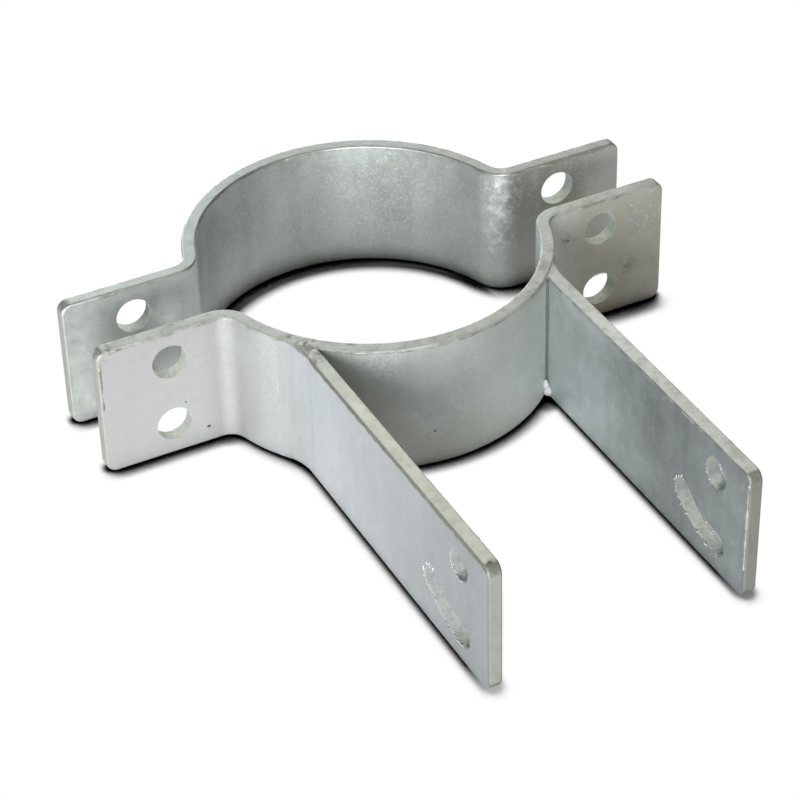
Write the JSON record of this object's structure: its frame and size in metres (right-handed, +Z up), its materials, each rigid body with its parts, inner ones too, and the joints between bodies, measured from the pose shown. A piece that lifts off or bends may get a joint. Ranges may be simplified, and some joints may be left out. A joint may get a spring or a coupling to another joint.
{
  "type": "mirror post bracket",
  "caption": "Split clamp for a round post, with drilled flanges and flat arms that carry a road mirror on a pivot hole and a curved tilt slot.",
  "frame": {"origin": "on the axis of the post in the front half's seat, in the plane of the lower edges that the bracket stands on", "axes": "+Z up along the post, -Y towards the arms' free ends, X across the flanges"},
  "size_m": [0.22, 0.2451, 0.05],
  "materials": {
    "galvanised_steel": "hot-dip galvanised, satin, with a faint mottle",
    "galvanised_weld": "hot-dip galvanised weld, slightly rough"
  },
  "bodies": {
    "root": {"front_clamp_half": "galvanised_steel", "rear_clamp_half": "galvanised_steel", "left_arm": "galvanised_steel", "right_arm": "galvanised_steel", "left_weld_bead": "galvanised_weld", "right_weld_bead": "galvanised_weld"}
  },
  "joints": []
}
